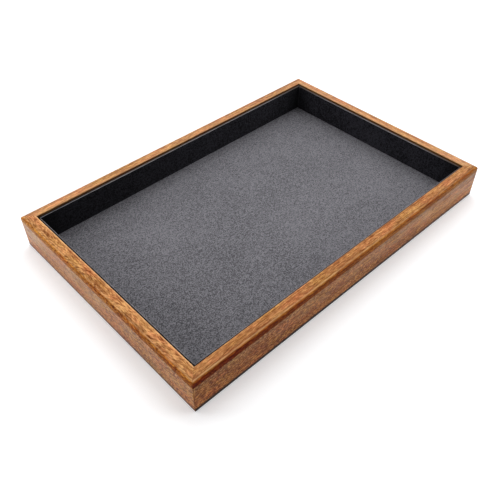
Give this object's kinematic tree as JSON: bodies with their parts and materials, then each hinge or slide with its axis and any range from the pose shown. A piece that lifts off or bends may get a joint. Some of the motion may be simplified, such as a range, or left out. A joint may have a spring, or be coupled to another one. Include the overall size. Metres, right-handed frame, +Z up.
{
  "type": "dice tray",
  "caption": "Shallow rectangular hardwood tray with mitred corners, cloth-lined walls and a soft cloth floor, for rolling dice.",
  "frame": {"origin": "middle of the underside", "axes": "+X along the long side, +Y along the short side, +Z up"},
  "size_m": [0.305, 0.204, 0.03],
  "materials": {
    "frame_wood": "satin",
    "tenon_wood": "matte",
    "base_plywood": "matte",
    "backing_board": "matte",
    "floor_suede": "matte",
    "lining_suede": "matte"
  },
  "bodies": {
    "root": {"front_wall": "frame_wood", "back_wall": "frame_wood", "left_wall": "frame_wood", "right_wall": "frame_wood", "mitre_tenon_front_left": "tenon_wood", "mitre_tenon_front_right": "tenon_wood", "mitre_tenon_back_right": "tenon_wood", "mitre_tenon_back_left": "tenon_wood", "base_panel": "base_plywood", "floor_board": "backing_board", "floor_cloth": "floor_suede", "lining_board_front": "backing_board", "lining_board_back": "backing_board", "lining_board_left": "backing_board", "lining_board_right": "backing_board", "lining_cloth_front": "lining_suede", "lining_cloth_back": "lining_suede", "lining_cloth_left": "lining_suede", "lining_cloth_right": "lining_suede"}
  },
  "joints": []
}
